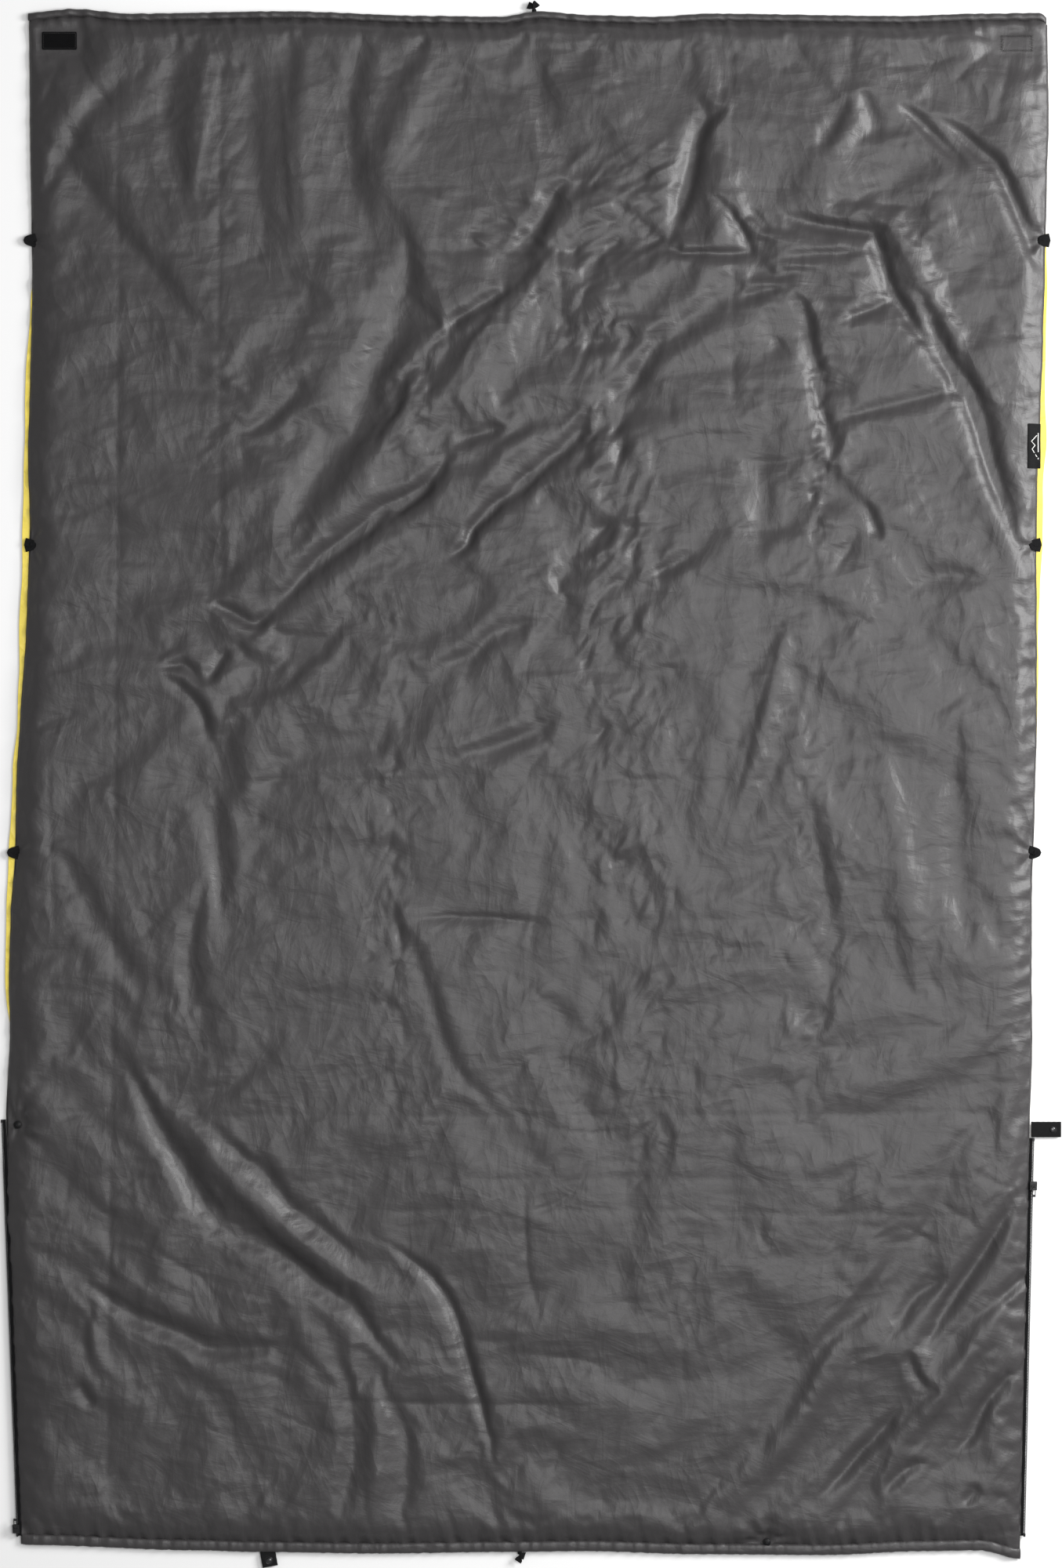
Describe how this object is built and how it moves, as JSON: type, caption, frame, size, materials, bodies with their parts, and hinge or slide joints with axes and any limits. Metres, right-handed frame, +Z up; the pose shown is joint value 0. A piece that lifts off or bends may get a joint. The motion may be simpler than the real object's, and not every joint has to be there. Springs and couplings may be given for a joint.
{
  "type": "camp quilt",
  "caption": "Insulated camp quilt lying flat, with half zips for a foot box, ribbon tie loops, snap straps and a hook-and-loop corner closure.",
  "frame": {"origin": "on the ground under the middle of the quilt's bounding box", "axes": "+Y towards the head edge, +X towards the edge with the side strap, +Z up out of the shell"},
  "size_m": [1.3755, 2.0325, 0.017],
  "materials": {
    "shell_cloth": "satin",
    "lining_cloth": "satin",
    "batting": "matte",
    "elastic": "matte",
    "ribbon": "satin",
    "hook_tape": "matte",
    "loop_tape": "matte",
    "label_weave": "satin",
    "zip_tape": "matte",
    "zip_coil": "satin",
    "slider_metal": "satin",
    "webbing": "matte",
    "snap_metal": "gloss"
  },
  "bodies": {
    "left_half": {"lining_left": "lining_cloth", "batting_left": "batting", "shell_left": "shell_cloth", "head_hem_left": "shell_cloth", "foot_hem_left": "shell_cloth", "foot_elastic_left": "elastic", "upper_loop_left": "ribbon", "mid_loop_left": "ribbon", "lower_loop_left": "ribbon", "foot_centre_loop": "ribbon", "hook_patch": "hook_tape", "zip_tape_left": "zip_tape", "zip_coil_left": "zip_coil", "zip_stops_left": "zip_coil", "side_snap_stud": "snap_metal", "side_snap_stud_back": "snap_metal"},
    "right_half": {"lining_right": "lining_cloth", "batting_right": "batting", "shell_right": "shell_cloth", "head_hem_right": "shell_cloth", "foot_hem_right": "shell_cloth", "foot_elastic_right": "elastic", "upper_loop_right": "ribbon", "mid_loop_right": "ribbon", "lower_loop_right": "ribbon", "head_centre_loop": "ribbon", "loop_patch": "loop_tape", "side_label": "label_weave", "zip_tape_right": "zip_tape", "zip_coil_right": "zip_coil", "zip_stops_right": "zip_coil", "foot_snap_stud": "snap_metal", "foot_snap_stud_back": "snap_metal"},
    "left_slider": {"zip_slider_left": "slider_metal"},
    "right_slider": {"zip_slider_right": "slider_metal"},
    "left_pull": {"zip_pull_left": "slider_metal"},
    "right_pull": {"zip_pull_right": "slider_metal"},
    "side_strap_flap": {"side_strap": "webbing", "side_snap_cap": "snap_metal", "side_snap_socket": "snap_metal"},
    "foot_strap_flap": {"foot_strap": "webbing", "foot_snap_cap": "snap_metal", "foot_snap_socket": "snap_metal"}
  },
  "joints": [
    {"name": "quilt_fold", "type": "hinge", "parent": "left_half", "child": "right_half", "pos_m": [0, 0, 0.028], "axis": [0, -1, 0], "range_deg": [0, 178]},
    {"name": "side_strap_flap", "type": "hinge", "parent": "right_half", "child": "side_strap_flap", "pos_m": [0.6497, -0.448, 0.004], "axis": [0, -1, 0], "range_deg": [0, 130]},
    {"name": "foot_strap_flap", "type": "hinge", "parent": "left_half", "child": "foot_strap_flap", "pos_m": [-0.341, -0.999, 0.004], "axis": [-0.9848, -0.1736, 0], "range_deg": [0, 95]},
    {"name": "left_slider_run", "type": "slide", "parent": "left_half", "child": "left_slider", "axis": [-0.0374, 0.9993, 0], "range_m": [0, 0.521]},
    {"name": "right_slider_run", "type": "slide", "parent": "right_half", "child": "right_slider", "axis": [-0.0232, -0.9997, 0], "range_m": [-0.052, 0.445]},
    {"name": "left_pull_swing", "type": "hinge", "parent": "left_slider", "child": "left_pull", "pos_m": [-0.66813, -0.96589, 0.0092], "axis": [0.9993, 0.0374, 0], "range_deg": [0, 180]},
    {"name": "right_pull_swing", "type": "hinge", "parent": "right_slider", "child": "right_pull", "pos_m": [0.65201, -0.52114, 0.0092], "axis": [-0.9997, 0.0232, 0], "range_deg": [0, 180]}
  ]
}
